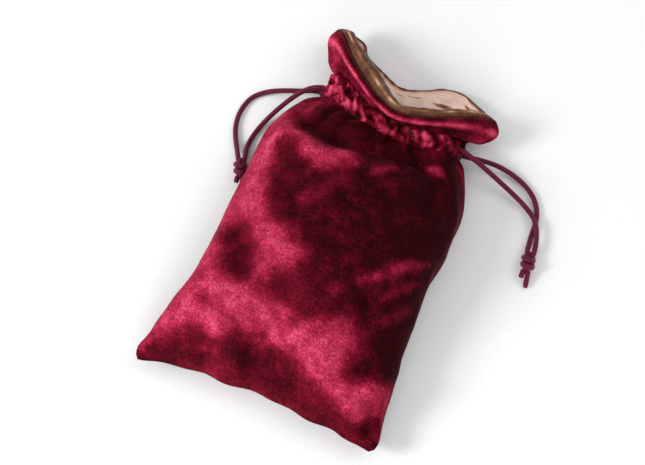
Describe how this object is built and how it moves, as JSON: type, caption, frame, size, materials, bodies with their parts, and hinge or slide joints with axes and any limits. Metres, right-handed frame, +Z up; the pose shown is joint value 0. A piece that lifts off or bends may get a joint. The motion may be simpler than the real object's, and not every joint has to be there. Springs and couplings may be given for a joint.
{
  "type": "drawstring dice bag",
  "caption": "Lined velvet drawstring bag lying plumped on its back, gathered neck with a cord casing, frilled mouth and two knotted draw cords.",
  "frame": {"origin": "on the table, under the middle of the bag without its loose cords", "axes": "+X across the bag, +Y along it towards the mouth, +Z up off the table"},
  "size_m": [0.1321, 0.1534, 0.0331],
  "materials": {
    "velvet": "short-pile velvet, dark wine red",
    "lining_satin": "light tan satin",
    "cord_satin": "round satin cord, wine red",
    "thread": "matt sewing thread"
  },
  "bodies": {
    "sack": {"velvet_front_panel": "velvet", "velvet_back_panel": "velvet", "casing_front": "velvet", "casing_back": "velvet", "header_front": "velvet", "header_back": "velvet", "velvet_seam_allowance": "velvet", "lining_front_panel": "lining_satin", "lining_back_panel": "lining_satin", "casing_front_lining": "lining_satin", "casing_back_lining": "lining_satin", "header_front_lining": "lining_satin", "header_back_lining": "lining_satin", "casing_lower_stitches": "thread", "casing_upper_stitches": "thread", "mouth_edge_stitches": "thread"},
    "neck_left_end": {"left_lower_bartack": "thread", "left_upper_bartack": "thread"},
    "neck_right_end": {"right_lower_bartack": "thread", "right_upper_bartack": "thread"},
    "left_cord": {"left_cord_loop": "cord_satin"},
    "right_cord": {"right_cord_loop": "cord_satin"},
    "left_tail": {"left_outer_strand": "cord_satin", "left_inner_strand": "cord_satin", "left_knot": "cord_satin", "left_tail_1": "cord_satin", "left_tail_2": "cord_satin"},
    "right_tail": {"right_outer_strand": "cord_satin", "right_inner_strand": "cord_satin", "right_knot": "cord_satin", "right_tail_1": "cord_satin", "right_tail_2": "cord_satin"}
  },
  "joints": [
    {"name": "left_cord_pull", "type": "slide", "parent": "sack", "child": "left_cord", "axis": [-1, 0, 0], "range_m": [0, 0.013]},
    {"name": "right_cord_pull", "type": "slide", "parent": "sack", "child": "right_cord", "axis": [1, 0, 0], "range_m": [0, 0.013]},
    {"name": "neck_left_gather", "type": "slide", "parent": "sack", "child": "neck_left_end", "axis": [1, 0, 0], "range_m": [0, 0.013], "deforming": ["casing_front", "casing_back", "casing_front_lining", "casing_back_lining", "header_front", "header_back", "header_front_lining", "header_back_lining", "casing_lower_stitches", "casing_upper_stitches", "mouth_edge_stitches"]},
    {"name": "neck_right_gather", "type": "slide", "parent": "sack", "child": "neck_right_end", "axis": [-1, 0, 0], "range_m": [0, 0.013]},
    {"name": "left_tail_swing", "type": "hinge", "parent": "left_cord", "child": "left_tail", "pos_m": [-0.0303, 0.054, 0.008], "axis": [0, 0, 1], "range_deg": [-25, 0]},
    {"name": "right_tail_swing", "type": "hinge", "parent": "right_cord", "child": "right_tail", "pos_m": [0.0303, 0.0508, 0.008], "axis": [0, 0, 1], "range_deg": [-20, 20]}
  ],
  "couplings": [
    {"joint": "right_cord_pull", "follows": "left_cord_pull", "ratio": 1},
    {"joint": "neck_left_gather", "follows": "left_cord_pull", "ratio": 1},
    {"joint": "neck_right_gather", "follows": "left_cord_pull", "ratio": 1}
  ]
}
